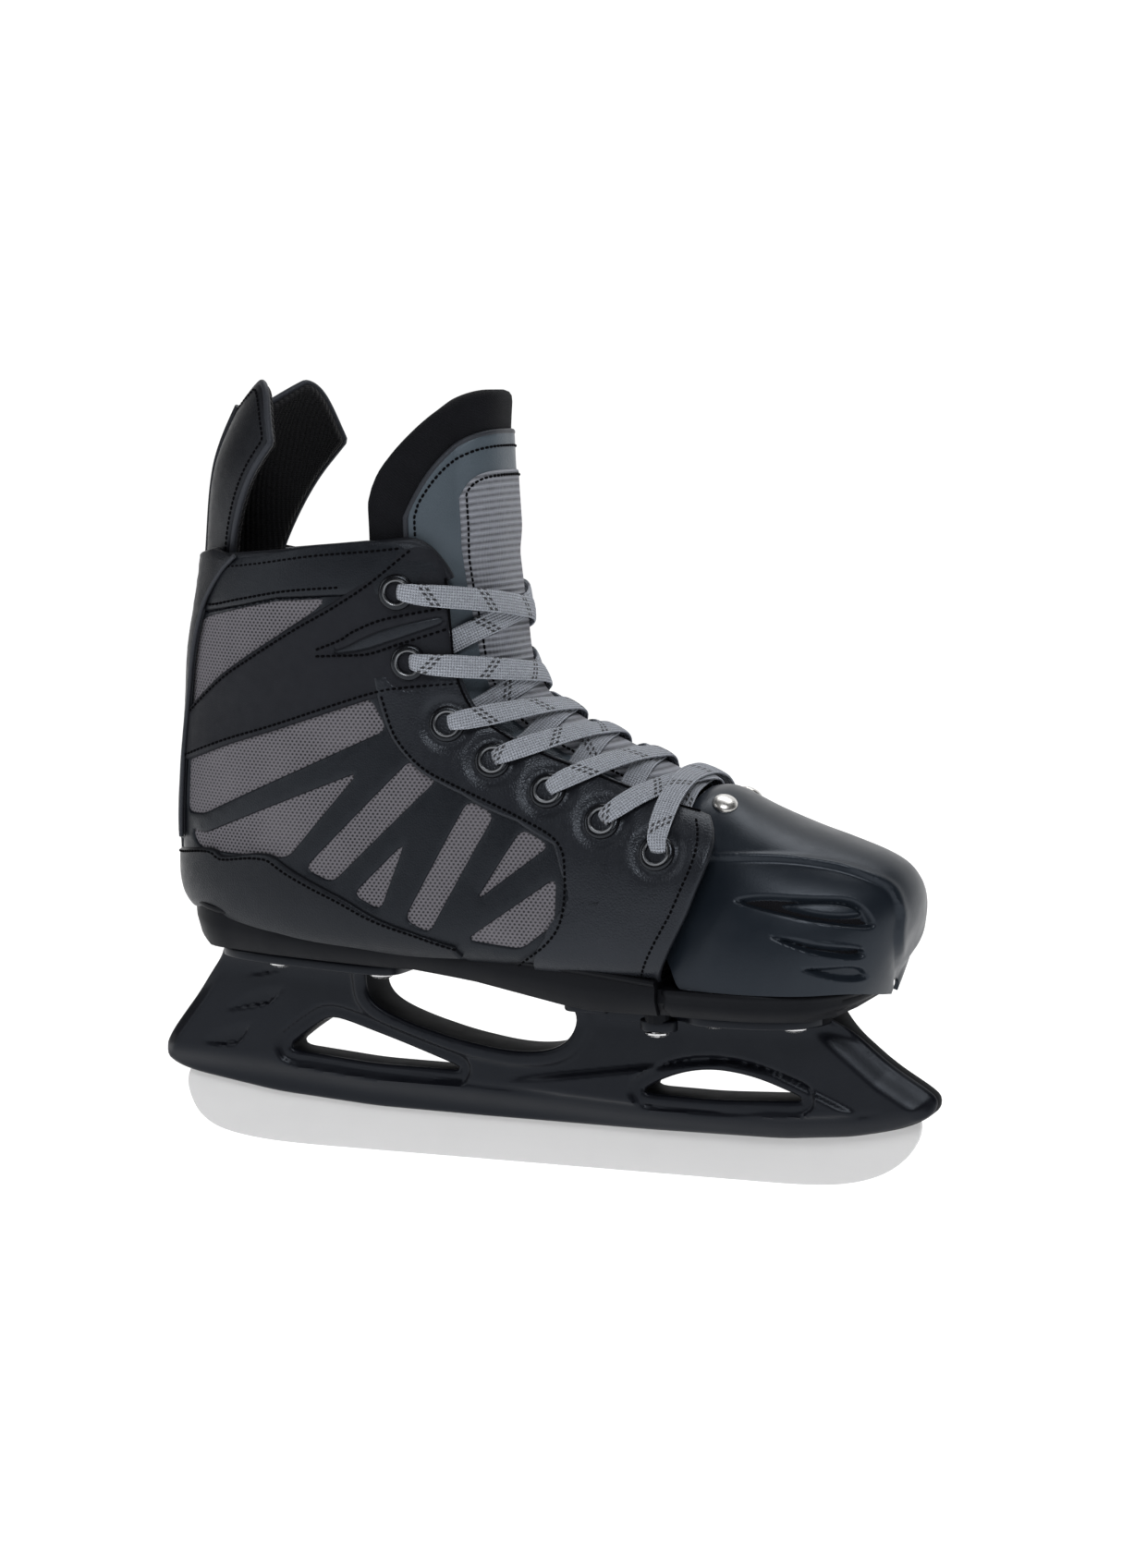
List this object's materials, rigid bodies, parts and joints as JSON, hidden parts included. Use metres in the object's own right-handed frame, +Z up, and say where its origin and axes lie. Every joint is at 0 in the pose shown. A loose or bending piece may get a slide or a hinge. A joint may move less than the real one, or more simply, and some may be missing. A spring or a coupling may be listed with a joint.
{
  "type": "ice skate",
  "caption": "Adjustable soft-boot ice skate: laced padded boot, sliding toe section with size button, open plastic blade holder and steel runner.",
  "frame": {"origin": "on the ground line of the runner, below the middle of the skate's length and width", "axes": "+X from heel to toe, +Y to the inner side of a right foot, +Z up"},
  "size_m": [0.2808, 0.083, 0.2656],
  "materials": {
    "holder_plastic": "satin moulded plastic",
    "runner_steel": "ground and polished steel",
    "sole_plastic": "fine textured plastic",
    "cap_plastic": "satin moulded plastic",
    "button_plastic": "satin moulded plastic",
    "aglet_plastic": "smooth clear-coated tip",
    "quarter_leather": "smooth synthetic leather with woven insets",
    "facing_leather": "smooth synthetic leather",
    "heel_leather": "smooth synthetic leather",
    "tongue_leather": "smooth synthetic leather",
    "lining_fabric": "soft knitted lining",
    "lace_fabric": "flat woven polyester",
    "rivet_steel": "plated steel",
    "eyelet_metal": "nickel plated"
  },
  "bodies": {
    "skate": {"blade_holder": "holder_plastic", "steel_runner": "runner_steel", "heel_sole": "sole_plastic", "quarter_outer": "quarter_leather", "quarter_inner": "quarter_leather", "facing_outer": "facing_leather", "facing_inner": "facing_leather", "heel_counter": "heel_leather", "ankle_padding": "lining_fabric", "footbed": "lining_fabric", "tongue_lower": "tongue_leather", "button_spring": "rivet_steel", "lace": "lace_fabric", "eyelet_outer_1": "eyelet_metal", "eyelet_outer_2": "eyelet_metal", "eyelet_outer_3": "eyelet_metal", "eyelet_outer_4": "eyelet_metal", "eyelet_outer_5": "eyelet_metal", "eyelet_outer_6": "eyelet_metal", "eyelet_outer_7": "eyelet_metal", "eyelet_inner_1": "eyelet_metal", "eyelet_inner_2": "eyelet_metal", "eyelet_inner_3": "eyelet_metal", "eyelet_inner_4": "eyelet_metal", "eyelet_inner_5": "eyelet_metal", "eyelet_inner_6": "eyelet_metal", "eyelet_inner_7": "eyelet_metal", "rear_rivet_outer_1": "rivet_steel", "rear_rivet_outer_2": "rivet_steel", "rear_rivet_inner_1": "rivet_steel", "rear_rivet_inner_2": "rivet_steel", "slide_pin_outer_1": "rivet_steel", "slide_pin_outer_2": "rivet_steel", "slide_pin_inner_1": "rivet_steel", "slide_pin_inner_2": "rivet_steel", "ear_rivet_outer": "rivet_steel", "ear_rivet_inner": "rivet_steel", "sole_bush_outer": "button_plastic", "sole_bush_inner": "button_plastic", "aglet_outer": "aglet_plastic", "aglet_inner": "aglet_plastic"},
    "toe_section": {"toe_sole": "sole_plastic", "toe_cap": "cap_plastic", "toe_lining": "lining_fabric", "cap_rivet_outer": "rivet_steel", "cap_rivet_inner": "rivet_steel"},
    "size_button": {"size_button": "button_plastic"},
    "tongue_flap": {"tongue_flap": "tongue_leather"},
    "tendon_guard": {"tendon_guard": "heel_leather"}
  },
  "joints": [
    {"name": "toe_slide", "type": "slide", "parent": "skate", "child": "toe_section", "axis": [1, 0, 0], "range_m": [0, 0.02]},
    {"name": "button_press", "type": "slide", "parent": "skate", "child": "size_button", "axis": [0, -1, 0], "range_m": [0, 0.004], "stiffness_N_per_m": 600, "deforming": ["button_spring"]},
    {"name": "tongue_bend", "type": "hinge", "parent": "skate", "child": "tongue_flap", "pos_m": [-0.0115, 0, 0.207], "axis": [0, 1, 0], "range_deg": [0, 45], "stiffness_Nm_per_rad": 0.3},
    {"name": "guard_bend", "type": "hinge", "parent": "skate", "child": "tendon_guard", "pos_m": [-0.124, 0, 0.206], "axis": [0, 1, 0], "range_deg": [-20, 0], "stiffness_Nm_per_rad": 1.5}
  ]
}
